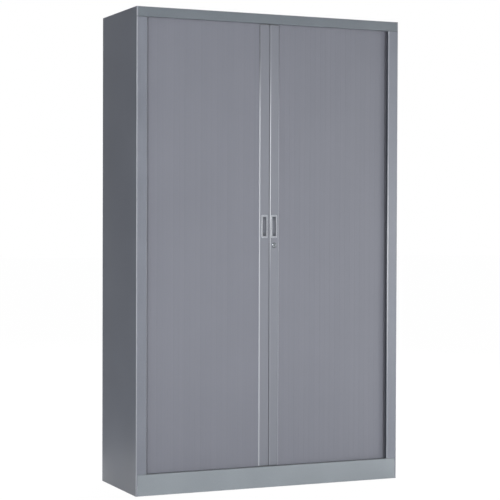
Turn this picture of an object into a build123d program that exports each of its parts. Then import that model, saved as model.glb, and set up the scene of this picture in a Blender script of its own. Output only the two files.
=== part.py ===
"""Two-door tambour cupboard in folded sheet steel, one STEP file per piece.

Millimetres, +Z up. The origin is the middle of the footprint on the floor, the front faces -Y and
+X is the viewer's right. Each curtain runs sideways in a track that goes round the front corner,
along the side and round the rear corner, behind liners that hide it from the shelves.
"""

import os
from math import atan2, cos, degrees, hypot, pi, radians, sin, sqrt

from build123d import *

# Carcass
WIDTH = 1200.0
DEPTH = 430.0
HEIGHT = 1980.0
SHEET = 1.0
SIDE_BEND = 4.0           # outer radius of the side panels' folds
FOLD_BEND = 2.0           # outer radius of the other folds that show
SEAM = 0.6                # gap left between two sheets that butt
STILE_WIDTH = 46.0
JAMB_DEPTH = 18.0
CORNER_RETURN = 6.0       # what is left of the stile beside the rail and the plinth
REAR_FLANGE = 20.0
RAIL_HEIGHT = 40.0
RAIL_LIP = 15.0
TOP_FLANGE = 20.0
PLINTH_HEIGHT = 87.0
PLINTH_LIP = 15.0
FOOT_FLANGE = 25.0
FLOOR_FLANGE = 25.0
CEILING_UPSTAND = 17.0
BACK_LIFT = 2.0           # the back panels stop short of the floor
JOINT_STRIP_WIDTH = 36.0

# Tracks
CURTAIN_SETBACK = 32.0    # from the front of the cupboard to the line of the slat hinges
SIDE_SETBACK = 18.0       # from the outside of a side panel to the same line
REAR_SETBACK = 15.0       # from the outside of the back to the same line
CORNER_RADIUS = 45.0
REAR_RUN = 145.0
TRACK_WIDTH = 11.0
GROOVE_WIDTH = 8.0
TRACK_HEIGHT = 14.0
TRACK_BASE = 2.0
LOWER_REVEAL = 1.0        # from the top of the plinth down to the lower track
UPPER_REVEAL = 2.0        # from the underside of the rail up to the upper track
STOP_WIDTH = 5.0
STOP_HEIGHT = 9.0
STOP_CLEARANCE = 0.2

# Slats
SLAT_PITCH = 24.0
BEAD_RADIUS = 1.6         # to the corners of the six-sided bead
SOCKET_BORE = 2.1         # to the corners of the faceted socket
SOCKET_RADIUS = 3.1
SKIN_DEPTH = 3.0          # from the hinge line to the front of the slats
SKIN_GAP = 0.3            # between the front skins of two slats
SKIN_CLEARANCE = 0.2      # between a slat's skin and the socket beside it
MOUTH_FRONT_ANGLE = 27.0  # how far the socket's mouth opens toward the front
MOUTH_REAR_ANGLE = 60.0   # and toward the inside of the bend
SEAT_CLEARANCE = 0.3      # between a hanging or sliding piece and what it rests on
SLAT_LIFT = 1.5           # play at the top of a slat, so that the curtain can be lifted out

# Lead profiles
MEETING_GAP = 1.5
PROFILE_EDGE = 46.0       # from the middle of the cupboard to a profile's outer edge
PROFILE_DEPTH = 16.0
PROFILE_WALL = 1.6
PROFILE_NOSE = 6.0        # radius of the outer front edge
PROFILE_EASE = 3.0        # and of the front edge where the two profiles meet
SOCKET_BLOCK = 8.5
SOCKET_INSET = 3.1
PROFILE_END_GAP = 2.0     # from the profile to the rail above and the plinth below
GUIDE_CLEARANCE = 0.3
GUIDE_WIDTH = 7.2
GUIDE_PLUG = 20.0
GUIDE_START = 3.0
GUIDE_CHAMFER = 2.5

# Cup handles
HANDLE_X = 22.0
HANDLE_Z = 1094.0
BEZEL_WIDTH = 28.0
BEZEL_HEIGHT = 96.0
BEZEL_THICKNESS = 1.5
BEZEL_CORNER = 4.0
FINGER_WIDTH = 17.0
FINGER_HEIGHT = 81.0
FINGER_CORNER = 2.5
CUP_WALL = 1.5
CUP_DEPTH = 12.5
CUP_CLEARANCE = 0.3

# Cam lock
LOCK_X = 22.0
LOCK_Z = 1015.0
LOCK_FLANGE_RADIUS = 11.0
LOCK_FLANGE = 2.5
LOCK_BARREL_RADIUS = 9.0
LOCK_BARREL_FLATS = 15.0  # across the two flats that stop the barrel turning
LOCK_PLUG_RADIUS = 6.0
RUNNING_FIT = 0.05
CUT_MARGIN = 1.0          # how far a cutter runs past a face
LOCK_CLEARANCE = 0.15
LOCK_NUT_RADIUS = 12.0
LOCK_NUT = 3.5
KEYWAY_WIDTH = 2.2
KEYWAY_HEIGHT = 8.0
KEYWAY_DEPTH = 14.0
DRIVE_SQUARE = 6.0
CAM_THICKNESS = 2.0
CAM_REACH = 33.0
CAM_WIDTH = 10.0
HOOK_THICKNESS = 5.0
HOOK_RISE = 8.0
CAM_SCREW_HEAD = 8.0      # across flats
CAM_SCREW_HEIGHT = 2.2
CAM_SCREW_SHANK = 1.8

# Strike plate
STRIKE_SHEET = 1.5
STRIKE_EDGE = 3.5         # from the middle of the cupboard to the keeper
STRIKE_BASE = 30.0
STRIKE_HEIGHT = 30.0
STRIKE_RISE = 6.0         # from the lock's axis to the lower end of the keeper
STRIKE_STAND = 10.0
STRIKE_SCREW_RADIUS = 1.9
STRIKE_SCREW_HEAD = 7.0   # across flats
STRIKE_SCREW_HEIGHT = 2.0
STRIKE_SCREW_LENGTH = 8.0
STRIKE_SCREW_SPACING = 16.0
STRIKE_SCREW_INSET = 18.0  # from the keeper to the screws

# Liners and shelves
LINER_GAP = 13.5          # from the side track to the face that the shelves meet
LINER_RETURN = 10.0
CORNER_CLEARANCE = 1.0    # between the liners and the inside of the track's corners
LOCK_ROOM = 15.0          # behind the lead profiles, for the lock and the strike
SLOT_PITCH = 125.0
SLOT_START = 60.0
SLOT_WIDTH = 13.0
SLOT_HEIGHT = 4.0
SLOT_FRONT = 30.0         # from the liner's front edge to the front row of slots
SLOT_REAR = 30.0          # and from its rear edge to the rear row
SHELF_COUNT = 4
SHELF_EDGE = 25.0
SHELF_LIP = 12.0
SHELF_CLEARANCE = 1.0
SHELF_FRONT_INSET = 5.0
SHELF_REAR_INSET = 2.0
CLIP_THICKNESS = 1.5
CLIP_WIDTH = 12.0
CLIP_LEDGE = 14.0
CLIP_LEG = 16.0
CLIP_HOOK = 6.0
CLIP_CLEARANCE = 0.1

# Levelling feet
LEVELLER_INSET_X = 60.0
LEVELLER_INSET_Y = 65.0
STUD_RADIUS = 5.0
STUD_HEADROOM = 10.0      # from the floor down to the top of a stud
FOOT_WIDTH = 32.0         # across the flats of the foot's hexagon
FOOT_HEIGHT = 9.0
FOOT_CHAMFER = 1.5
FOOT_LIFT = 1.0
HEX_SOCKET = 5.0
HEX_SOCKET_DEPTH = 6.0
BRACKET_SHEET = 3.0
BRACKET_DEPTH = 31.0      # from the floor down to the bracket
BRACKET_DROP = 29.0
BRACKET_WIDTH = 40.0
BRACKET_REACH = 80.0
NUT_WIDTH = 17.0
NUT_HEIGHT = 8.0
STUD_HOLE = 11.0          # square hole in a bracket
PLUG_WIDTH = 18.0         # square access hole in the floor
PLUG_OVERLAP = 2.5
PLUG_CAP = 1.5
PLUG_STEM = 5.0
PLUG_WALL = 1.2

# Planes and lines that several pieces share
SIDE = WIDTH / 2
FRONT = -DEPTH / 2
BACK = DEPTH / 2
STILE_X = SIDE - STILE_WIDTH
RAIL_X = SIDE - CORNER_RETURN - SEAM
WING_X = SIDE - SHEET - SEAM / 2
BACK_PANEL_X = SIDE - SIDE_BEND
BACK_INSIDE = BACK - 2 * SHEET
TOP_OF_STILE = HEIGHT - RAIL_HEIGHT
FLOOR_HEIGHT = PLINTH_HEIGHT - LOWER_REVEAL - TRACK_HEIGHT
CEILING = TOP_OF_STILE + UPPER_REVEAL + TRACK_HEIGHT
CURTAIN_Y = FRONT + CURTAIN_SETBACK
TRACK_X = SIDE - SIDE_SETBACK
TRACK_REAR_Y = BACK - REAR_SETBACK
CORNER_X = TRACK_X - CORNER_RADIUS
FRONT_CORNER_Y = CURTAIN_Y + CORNER_RADIUS
REAR_CORNER_Y = TRACK_REAR_Y - CORNER_RADIUS
SLAT_BOTTOM = FLOOR_HEIGHT + TRACK_BASE + SEAT_CLEARANCE
SLAT_TOP = CEILING - TRACK_BASE - SLAT_LIFT
FIRST_HINGE_X = PROFILE_EDGE - SOCKET_INSET
STRAIGHT_RUN = CORNER_X - FIRST_HINGE_X
SLAT_COUNT = int((STRAIGHT_RUN + CORNER_RADIUS * pi / 2) // SLAT_PITCH)
PROFILE_FRONT = CURTAIN_Y - PROFILE_DEPTH / 2
PROFILE_BACK = CURTAIN_Y + PROFILE_DEPTH / 2
PROFILE_BOTTOM = PLINTH_HEIGHT + PROFILE_END_GAP
PROFILE_TOP = TOP_OF_STILE - PROFILE_END_GAP
INNER_RADIUS = CORNER_RADIUS - TRACK_WIDTH / 2 - CORNER_CLEARANCE
LINER_X = TRACK_X - TRACK_WIDTH / 2 - LINER_GAP
LINER_FRONT_Y = PROFILE_BACK + LOCK_ROOM
HEM_X = CORNER_X + sqrt(INNER_RADIUS**2 - (FRONT_CORNER_Y - LINER_FRONT_Y) ** 2)
INNER_BACK_Y = REAR_CORNER_Y + sqrt(INNER_RADIUS**2 - (LINER_X + SHEET - CORNER_X) ** 2)
LINER_REAR_Y = INNER_BACK_Y - 2 * SHEET
SLOT_ROWS = (LINER_FRONT_Y + SLOT_FRONT, LINER_REAR_Y - SLOT_REAR)
SLOT_COUNT = int((CEILING - FLOOR_HEIGHT - 2 * SLOT_START) // SLOT_PITCH) + 1
LEVELLER_X = SIDE - LEVELLER_INSET_X
LEVELLER_Y = DEPTH / 2 - LEVELLER_INSET_Y
BRACKET_TOP = FLOOR_HEIGHT - BRACKET_DEPTH
STUD_TOP = FLOOR_HEIGHT - STUD_HEADROOM
LOCK_FRONT = PROFILE_FRONT - LOCK_FLANGE
LOCK_BACK = PROFILE_BACK + LOCK_NUT + LOCK_CLEARANCE
CAM_Y = LOCK_BACK + LOCK_CLEARANCE


def block(x, y, z):
    """A box between the two limits given along each axis."""
    size = (abs(x[1] - x[0]), abs(y[1] - y[0]), abs(z[1] - z[0]))
    return Pos(sum(x) / 2, sum(y) / 2, sum(z) / 2) * Box(*size)


def folded(points, side, bend=FOLD_BEND, sheet=SHEET):
    """Section of a folded sheet: the points follow its outer face and the metal lies to one side."""
    outer_face = FilletPolyline(*points, radius=bend).wire()
    return make_face(outer_face.offset_2d(sheet, kind=Kind.ARC, side=side, closed=True))


def creased(points, side):
    """The same for inner sheets, whose tight folds are taken as sharp."""
    outer_face = Polyline(*points).wire()
    return make_face(outer_face.offset_2d(SHEET, kind=Kind.INTERSECTION, side=side, closed=True))


def along_z(section, bottom, top):
    """Extrude a section drawn in plan between two heights."""
    return Pos(0, 0, bottom) * extrude(section, top - bottom)


def along_x(section, start, end):
    """Extrude a section drawn with depth across and height up between two places along X."""
    return Pos(start, 0, 0) * extrude(Plane.YZ * section, end - start)


def cylinder_y(radius, start, end, x, z):
    """A cylinder from front to back."""
    return Pos(x, (start + end) / 2, z) * Rot(90, 0, 0) * Cylinder(radius, end - start)


def other_side(shape):
    """The same piece on the left of the cupboard."""
    return mirror(shape, about=Plane.YZ)


def both_sides(shapes):
    """The pieces on the right followed by their mirror images on the left."""
    return list(shapes) + [other_side(shape) for shape in shapes]


def group(shapes):
    """Several separate solids kept together as one node."""
    return Compound(children=list(shapes))


# ---------------------------------------------------------------- carcass


def side_panel():
    """Right side: outer wall, front stile, jamb return and rear flange, folded from one sheet."""
    outline = [
        (STILE_X, FRONT + JAMB_DEPTH),
        (STILE_X, FRONT),
        (SIDE, FRONT),
        (SIDE, BACK),
        (SIDE - REAR_FLANGE, BACK),
    ]
    panel = along_z(folded(outline, Side.LEFT, SIDE_BEND), 0, HEIGHT)
    notch_x = (STILE_X - SHEET, SIDE - CORNER_RETURN)
    notch_y = (FRONT - SHEET, FRONT + JAMB_DEPTH + SHEET)
    panel -= block(notch_x, notch_y, (TOP_OF_STILE - SEAM, HEIGHT + SHEET))
    panel -= block(notch_x, notch_y, (-SHEET, PLINTH_HEIGHT + SEAM))
    foot_y = (FRONT + FOOT_FLANGE + SEAM, BACK - SIDE_BEND)
    return panel + block((SIDE - FOOT_FLANGE, SIDE - SHEET), foot_y, (0, SHEET))


def wings(level, flange, front, back):
    """What widens a sheet behind the corner returns, with a flange turned along each side panel."""
    wing = block((RAIL_X, WING_X), (front, back), (level - SHEET, level))
    wing += block((WING_X - SHEET, WING_X), (front, back), (level - flange, level))
    return wing + other_side(wing)


def top_panel():
    """Top sheet, folded down into the front rail and its lip and into the rear flange."""
    outline = [
        (BACK_INSIDE, HEIGHT - TOP_FLANGE),
        (BACK_INSIDE, HEIGHT),
        (FRONT, HEIGHT),
        (FRONT, TOP_OF_STILE),
        (FRONT + RAIL_LIP, TOP_OF_STILE),
    ]
    panel = along_x(folded(outline, Side.LEFT, FOLD_BEND), -RAIL_X, RAIL_X)
    return panel + wings(HEIGHT, TOP_FLANGE, FRONT + SIDE_BEND, BACK_INSIDE - FOLD_BEND)


def ceiling_panel():
    """Inner top that carries the upper tracks, with an upstand at the front and the rear."""
    upstand = CEILING + CEILING_UPSTAND
    outline = [
        (FRONT + SHEET, upstand),
        (FRONT + SHEET, CEILING),
        (BACK_INSIDE - SHEET, CEILING),
        (BACK_INSIDE - SHEET, upstand),
    ]
    panel = along_x(creased(outline, Side.LEFT), -RAIL_X, RAIL_X)
    wing_y = (FRONT + SIDE_BEND, BACK_INSIDE - FOLD_BEND - SHEET)
    wing = block((RAIL_X, WING_X), wing_y, (CEILING, CEILING + SHEET))
    return panel + wing + other_side(wing)


def plinth():
    """Front base board with a lip at the top and a foot turned in along the floor."""
    outline = [
        (FRONT + PLINTH_LIP, PLINTH_HEIGHT),
        (FRONT, PLINTH_HEIGHT),
        (FRONT, 0),
        (FRONT + FOOT_FLANGE, 0),
    ]
    return along_x(folded(outline, Side.LEFT), -RAIL_X, RAIL_X)


def leveller_places():
    """Plan positions of the four levelling feet."""
    return [(x, y) for y in (-LEVELLER_Y, LEVELLER_Y) for x in (-LEVELLER_X, LEVELLER_X)]


def floor_panel():
    """Floor that carries the lower tracks, with flanges turned down and access holes for the feet."""
    under = FLOOR_HEIGHT - FLOOR_FLANGE
    outline = [
        (FRONT + SHEET, under),
        (FRONT + SHEET, FLOOR_HEIGHT),
        (BACK_INSIDE, FLOOR_HEIGHT),
        (BACK_INSIDE, under),
    ]
    panel = along_x(creased(outline, Side.RIGHT), -RAIL_X, RAIL_X)
    panel += wings(FLOOR_HEIGHT, FLOOR_FLANGE, FRONT + SIDE_BEND, BACK_INSIDE - FOLD_BEND)
    for x, y in leveller_places():
        panel -= Pos(x, y, FLOOR_HEIGHT) * Box(PLUG_WIDTH, PLUG_WIDTH, 3 * SHEET)
    return panel


def back_panel():
    """Right half of the outer back, laid against the side panel's rear flange."""
    return block((SEAM / 2, BACK_PANEL_X), (BACK_INSIDE, BACK - SHEET), (BACK_LIFT, HEIGHT))


def back_joint_strip():
    """Cover strip over the joint between the two back panels."""
    half = JOINT_STRIP_WIDTH / 2
    return block((-half, half), (BACK - SHEET, BACK), (BACK_LIFT, HEIGHT))


# ---------------------------------------------------------------- tracks


def channel(line):
    """Track section swept along a line in plan, open upward, standing on z = 0."""
    walls = extrude(trace(line, TRACK_WIDTH), TRACK_HEIGHT)
    return walls - Pos(0, 0, TRACK_BASE) * extrude(trace(line, GROOVE_WIDTH), TRACK_HEIGHT)


def corner_guide(centre_y, front):
    """Moulded quarter bend whose base plate fills the outer corner."""
    bend = CenterArc((CORNER_X, centre_y), CORNER_RADIUS, -90 if front else 0, 90)
    walls = extrude(trace(bend, TRACK_WIDTH) - trace(bend, GROOVE_WIDTH), TRACK_HEIGHT)
    reach = CORNER_RADIUS + TRACK_WIDTH / 2
    far_y = centre_y - reach if front else centre_y + reach
    base = block((CORNER_X, CORNER_X + reach), (centre_y, far_y), (0, TRACK_BASE))
    inside = Cylinder(CORNER_RADIUS - TRACK_WIDTH / 2, 4 * TRACK_BASE)
    return walls + (base - Pos(CORNER_X, centre_y, 0) * inside)


def at_floor(shape):
    """Stand a track piece on the floor panel."""
    return Pos(0, 0, FLOOR_HEIGHT) * shape


def at_ceiling(shape):
    """Hang the same track piece under the ceiling panel."""
    return Pos(0, 0, CEILING) * mirror(shape, about=Plane.XY)


def track_pieces():
    """The solids of every piece of track by name, standing on z = 0."""
    side_track = channel(Line((TRACK_X, FRONT_CORNER_Y), (TRACK_X, REAR_CORNER_Y)))
    rear_track = channel(Line((CORNER_X, TRACK_REAR_Y), (CORNER_X - REAR_RUN, TRACK_REAR_Y)))
    return {
        "front_track": [channel(Line((-CORNER_X, CURTAIN_Y), (CORNER_X, CURTAIN_Y)))],
        "right_side_track": [side_track],
        "left_side_track": [other_side(side_track)],
        "rear_tracks": both_sides([rear_track]),
        "front_corner_guides": both_sides([corner_guide(FRONT_CORNER_Y, True)]),
        "rear_corner_guides": both_sides([corner_guide(REAR_CORNER_Y, False)]),
    }


def centre_stops():
    """Nylon block in the groove of each front track, where the two curtains meet."""
    half = GROOVE_WIDTH / 2 - STOP_CLEARANCE
    limits_y = (CURTAIN_Y - half, CURTAIN_Y + half)
    stop = block((-STOP_WIDTH / 2, STOP_WIDTH / 2), limits_y, (TRACK_BASE, TRACK_BASE + STOP_HEIGHT))
    return group([at_floor(stop), at_ceiling(stop)])


# ---------------------------------------------------------------- curtains


def arc_points(centre_x, radius, angles):
    """Points round a hinge centre at the given angles in degrees."""
    return [(centre_x + radius * cos(radians(angle)), radius * sin(radians(angle))) for angle in angles]


def slat_section():
    """One slat in plan: a bead on a neck at the origin, a flush front skin, and a socket one pitch on.

    +X runs along the curtain away from the lead profile and +Y goes to the inside of the bend. The
    socket's mouth lets the next slat's neck swing inward far enough for the track's corners, and it
    is narrower than the bead, so the slats slide into one another only from the end.
    """
    half_neck = BEAD_RADIUS / 2
    skin_start = SOCKET_RADIUS + SKIN_CLEARANCE
    skin_end = SLAT_PITCH + skin_start - SKIN_GAP
    shoulder = SLAT_PITCH - sqrt(SOCKET_RADIUS**2 - half_neck**2)
    bore_steps = 4
    bore_turn = 360 - MOUTH_REAR_ANGLE - MOUTH_FRONT_ANGLE
    bore_angles = [MOUTH_REAR_ANGLE + bore_turn * step / bore_steps for step in range(bore_steps + 1)]
    outline = arc_points(0, BEAD_RADIUS, (-30, -90, -150, 150, 90, 30))
    outline += [(shoulder, half_neck)]
    outline += arc_points(SLAT_PITCH, SOCKET_RADIUS, ((180 + MOUTH_REAR_ANGLE) / 2, MOUTH_REAR_ANGLE))
    outline += arc_points(SLAT_PITCH, SOCKET_BORE, bore_angles)
    outline += [(skin_end, -SKIN_DEPTH), (skin_start, -SKIN_DEPTH), (skin_start, -half_neck)]
    return make_face(Polyline(*outline, close=True))


def curtain_point(run):
    """Place on the hinge line at a distance from the first hinge, as x and y."""
    if run <= STRAIGHT_RUN:
        return FIRST_HINGE_X + run, CURTAIN_Y
    turn = (run - STRAIGHT_RUN) / CORNER_RADIUS
    if turn <= pi / 2:
        return CORNER_X + CORNER_RADIUS * sin(turn), FRONT_CORNER_Y - CORNER_RADIUS * cos(turn)
    return TRACK_X, FRONT_CORNER_Y + CORNER_RADIUS * (turn - pi / 2)


def hinge_runs():
    """Distances along the hinge line at which the slat hinges lie, one straight pitch apart."""
    runs = [0.0]
    for _ in range(SLAT_COUNT):
        here = curtain_point(runs[-1])
        near, far = runs[-1], runs[-1] + 2 * SLAT_PITCH
        for _ in range(40):
            middle = (near + far) / 2
            there = curtain_point(middle)
            if hypot(there[0] - here[0], there[1] - here[1]) < SLAT_PITCH:
                near = middle
            else:
                far = middle
        runs.append(near)
    return runs


def slats():
    """Right curtain: the slats hooked into one another along the hinge line."""
    slat = along_z(slat_section(), SLAT_BOTTOM, SLAT_TOP)
    places = [curtain_point(run) for run in hinge_runs()]
    curtain = []
    for here, there in zip(places, places[1:]):
        heading = degrees(atan2(there[1] - here[1], there[0] - here[0]))
        curtain.append(Pos(*here, 0) * Rot(0, 0, heading) * slat)
    return curtain


# ---------------------------------------------------------------- lead profiles


def profile_section():
    """Right lead profile in plan: a hollow bar, rounded along both front edges, with a slat socket."""
    inner_edge = MEETING_GAP / 2
    middle = (PROFILE_EDGE + inner_edge) / 2
    bar = Pos(middle, CURTAIN_Y) * Rectangle(PROFILE_EDGE - inner_edge, PROFILE_DEPTH)
    bar = fillet(bar.vertices().sort_by(Axis.Y)[:2].sort_by(Axis.X)[-1], PROFILE_NOSE)
    bar = fillet(bar.vertices().sort_by(Axis.Y)[:2].sort_by(Axis.X)[0], PROFILE_EASE)
    hollow_start = inner_edge + PROFILE_WALL
    hollow_end = PROFILE_EDGE - SOCKET_BLOCK
    hollow_centre = Pos((hollow_start + hollow_end) / 2, CURTAIN_Y)
    hollow = hollow_centre * Rectangle(hollow_end - hollow_start, PROFILE_DEPTH - 2 * PROFILE_WALL)
    mouth_width = 2 * SOCKET_BORE * sin(radians(MOUTH_FRONT_ANGLE))
    mouth = Pos(FIRST_HINGE_X + SOCKET_INSET, CURTAIN_Y) * Rectangle(2 * SOCKET_INSET, mouth_width)
    socket = Pos(FIRST_HINGE_X, CURTAIN_Y) * RegularPolygon(SOCKET_BORE, 6)
    return bar - hollow - socket - mouth


def lead_profile():
    """Right lead profile, cut out at the front for the cup handle."""
    profile = along_z(profile_section(), PROFILE_BOTTOM, PROFILE_TOP)
    half_x = FINGER_WIDTH / 2 + CUP_WALL + CUP_CLEARANCE
    half_z = FINGER_HEIGHT / 2 + CUP_WALL + CUP_CLEARANCE
    limits_x = (HANDLE_X - half_x, HANDLE_X + half_x)
    limits_y = (PROFILE_FRONT - PROFILE_WALL, PROFILE_FRONT + PROFILE_WALL + CUP_CLEARANCE)
    return profile - block(limits_x, limits_y, (HANDLE_Z - half_z, HANDLE_Z + half_z))


def lock_barrel(clearance, start, end):
    """The lock's round barrel with its two flats, or with a clearance the hole that it goes through."""
    barrel = cylinder_y(LOCK_BARREL_RADIUS + clearance, start, end, LOCK_X, LOCK_Z)
    half = LOCK_BARREL_FLATS / 2 + clearance
    reach = 2 * LOCK_BARREL_RADIUS
    flats = block((LOCK_X - half, LOCK_X + half), (start, end), (LOCK_Z - reach, LOCK_Z + reach))
    return barrel & flats


def right_lead_profile():
    """Lead profile pierced for the lock."""
    hole = lock_barrel(LOCK_CLEARANCE, PROFILE_FRONT - PROFILE_WALL, PROFILE_BACK + PROFILE_WALL)
    return lead_profile() - hole


def strike_screw_places():
    """Places of the two strike screws, as x and z on the left profile."""
    x = -(STRIKE_EDGE + STRIKE_SCREW_INSET)
    middle = LOCK_Z + STRIKE_RISE + STRIKE_HEIGHT / 2
    return [(x, middle + side * STRIKE_SCREW_SPACING / 2) for side in (-1, 1)]


def left_lead_profile():
    """Lead profile drilled at the back for the strike screws."""
    profile = other_side(lead_profile())
    for x, z in strike_screw_places():
        radius = STRIKE_SCREW_RADIUS + RUNNING_FIT
        start = PROFILE_BACK - 2 * PROFILE_WALL
        profile -= cylinder_y(radius, start, PROFILE_BACK + CUT_MARGIN, x, z)
    return profile


def handle_cup():
    """Right cup handle: a bezel on the profile's face with a finger cup let into the hollow."""
    face = Plane(origin=(HANDLE_X, PROFILE_FRONT, HANDLE_Z), z_dir=(0, 1, 0), x_dir=(1, 0, 0))
    cup_size = (FINGER_WIDTH + 2 * CUP_WALL, FINGER_HEIGHT + 2 * CUP_WALL)
    cup = extrude(face * Rectangle(*cup_size), CUP_DEPTH)
    bezel = extrude(face * RectangleRounded(BEZEL_WIDTH, BEZEL_HEIGHT, BEZEL_CORNER), -BEZEL_THICKNESS)
    bezel = chamfer(bezel.faces().sort_by(Axis.Y)[0].edges(), BEZEL_THICKNESS / 2)
    front_face = face.offset(-BEZEL_THICKNESS - SHEET)
    finger = RectangleRounded(FINGER_WIDTH, FINGER_HEIGHT, FINGER_CORNER)
    depth = BEZEL_THICKNESS + SHEET + CUP_DEPTH - CUP_WALL
    return cup + bezel - extrude(front_face * finger, depth)


def end_guide(plug_z, shoe_z):
    """Right nylon guide: a plug in the profile's hollow and a shoe in the track groove."""
    hollow_start = MEETING_GAP / 2 + PROFILE_WALL + GUIDE_CLEARANCE
    hollow_end = PROFILE_EDGE - SOCKET_BLOCK - GUIDE_CLEARANCE
    half = PROFILE_DEPTH / 2 - PROFILE_WALL - GUIDE_CLEARANCE
    plug = block((hollow_start, hollow_end), (CURTAIN_Y - half, CURTAIN_Y + half), plug_z)
    shoe_x = (GUIDE_START, FIRST_HINGE_X - BEAD_RADIUS - GUIDE_CLEARANCE)
    shoe_y = (CURTAIN_Y - GUIDE_WIDTH / 2, CURTAIN_Y + GUIDE_WIDTH / 2)
    shoe = block(shoe_x, shoe_y, shoe_z)
    return plug + chamfer(shoe.edges().filter_by(Axis.Z), GUIDE_CHAMFER)


def lower_guide():
    """Guide at the foot of the right profile."""
    return end_guide((PROFILE_BOTTOM, PROFILE_BOTTOM + GUIDE_PLUG), (SLAT_BOTTOM, PROFILE_BOTTOM))


def upper_guide():
    """Guide at the head of the right profile."""
    return end_guide((PROFILE_TOP - GUIDE_PLUG, PROFILE_TOP), (PROFILE_TOP, SLAT_TOP))


# ---------------------------------------------------------------- lock and strike


def lock_housing():
    """Flanged barrel of the cam lock, held in the right profile."""
    barrel = lock_barrel(0, PROFILE_FRONT, LOCK_BACK)
    flange = cylinder_y(LOCK_FLANGE_RADIUS, LOCK_FRONT, PROFILE_FRONT, LOCK_X, LOCK_Z)
    limits = (LOCK_FRONT - CUT_MARGIN, LOCK_BACK + CUT_MARGIN)
    bore = cylinder_y(LOCK_PLUG_RADIUS + RUNNING_FIT, *limits, LOCK_X, LOCK_Z)
    return barrel + flange - bore


def lock_nut():
    """Hexagon nut that clamps the housing to the back of the profile."""
    face = Plane(origin=(LOCK_X, PROFILE_BACK, LOCK_Z), z_dir=(0, 1, 0), x_dir=(1, 0, 0))
    nut = extrude(face * RegularPolygon(LOCK_NUT_RADIUS, 6), LOCK_NUT)
    return nut - lock_barrel(RUNNING_FIT, PROFILE_BACK - CUT_MARGIN, CAM_Y + CUT_MARGIN)


def lock_plug():
    """Turning plug with its keyway in front and a square drive behind."""
    plug = cylinder_y(LOCK_PLUG_RADIUS, LOCK_FRONT, CAM_Y, LOCK_X, LOCK_Z)
    half = DRIVE_SQUARE / 2
    square_x = (LOCK_X - half, LOCK_X + half)
    square_z = (LOCK_Z - half, LOCK_Z + half)
    plug += block(square_x, (CAM_Y, CAM_Y + CAM_THICKNESS), square_z)
    keyway_x = (LOCK_X - KEYWAY_WIDTH / 2, LOCK_X + KEYWAY_WIDTH / 2)
    keyway_z = (LOCK_Z - KEYWAY_HEIGHT / 2, LOCK_Z + KEYWAY_HEIGHT / 2)
    plug -= block(keyway_x, (LOCK_FRONT - CUT_MARGIN, LOCK_FRONT + KEYWAY_DEPTH), keyway_z)
    start = CAM_Y - CAM_THICKNESS
    return plug - cylinder_y(CAM_SCREW_SHANK, start, CAM_Y + 2 * CAM_THICKNESS, LOCK_X, LOCK_Z)


def hook_cam():
    """Cam that hangs down when unlocked, with a hook on the edge that leads when it turns to lock."""
    half = CAM_WIDTH / 2
    outline = make_face(
        Polyline(
            (half, 0),
            (half, -CAM_REACH),
            (-half - HOOK_RISE, -CAM_REACH),
            (-half - HOOK_RISE, HOOK_THICKNESS - CAM_REACH),
            (-half, HOOK_THICKNESS - CAM_REACH),
            (-half, 0),
            close=True,
        )
    )
    boss = Circle(half + PROFILE_WALL)
    hole = Rectangle(DRIVE_SQUARE + 2 * RUNNING_FIT, DRIVE_SQUARE + 2 * RUNNING_FIT)
    plane = Plane(origin=(LOCK_X, CAM_Y, LOCK_Z), x_dir=(1, 0, 0), z_dir=(0, -1, 0))
    return extrude(plane * (outline + boss - hole), -CAM_THICKNESS)


def hex_screw(x, z, seat, head_width, head_height, shank_radius, shank_length):
    """Hexagon-head screw driven in from behind, with its head on a seat that faces the back."""
    face = Plane(origin=(x, seat, z), z_dir=(0, 1, 0), x_dir=(1, 0, 0))
    head = extrude(face * RegularPolygon(head_width / 2, 6, major_radius=False), head_height)
    return head + cylinder_y(shank_radius, seat - shank_length, seat, x, z)


def cam_screw():
    """Screw that holds the cam on the plug."""
    seat = CAM_Y + CAM_THICKNESS
    shank_radius = CAM_SCREW_SHANK - RUNNING_FIT
    return hex_screw(LOCK_X, LOCK_Z, seat, CAM_SCREW_HEAD, CAM_SCREW_HEIGHT, shank_radius, CAM_THICKNESS)


def strike_plate():
    """Angle on the back of the left profile: the hook comes up behind its standing leg."""
    outline = [
        (-STRIKE_EDGE - STRIKE_BASE, PROFILE_BACK),
        (-STRIKE_EDGE, PROFILE_BACK),
        (-STRIKE_EDGE, PROFILE_BACK + STRIKE_STAND),
    ]
    section = folded(outline, Side.LEFT, FOLD_BEND, STRIKE_SHEET)
    bottom = LOCK_Z + STRIKE_RISE
    plate = along_z(section, bottom, bottom + STRIKE_HEIGHT)
    for x, z in strike_screw_places():
        radius = STRIKE_SCREW_RADIUS + RUNNING_FIT
        limits = (PROFILE_BACK - CUT_MARGIN, PROFILE_BACK + STRIKE_SHEET + CUT_MARGIN)
        plate -= cylinder_y(radius, *limits, x, z)
    return plate


def strike_screws():
    """Two screws through the strike plate into the left profile."""
    seat = PROFILE_BACK + STRIKE_SHEET
    sizes = (STRIKE_SCREW_HEAD, STRIKE_SCREW_HEIGHT, STRIKE_SCREW_RADIUS, STRIKE_SCREW_LENGTH)
    return group([hex_screw(x, z, seat, *sizes) for x, z in strike_screw_places()])


# ---------------------------------------------------------------- liners and shelves


def slot_level(index):
    """Height of the middle of a row of slots."""
    return FLOOR_HEIGHT + SLOT_START + index * SLOT_PITCH


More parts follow.
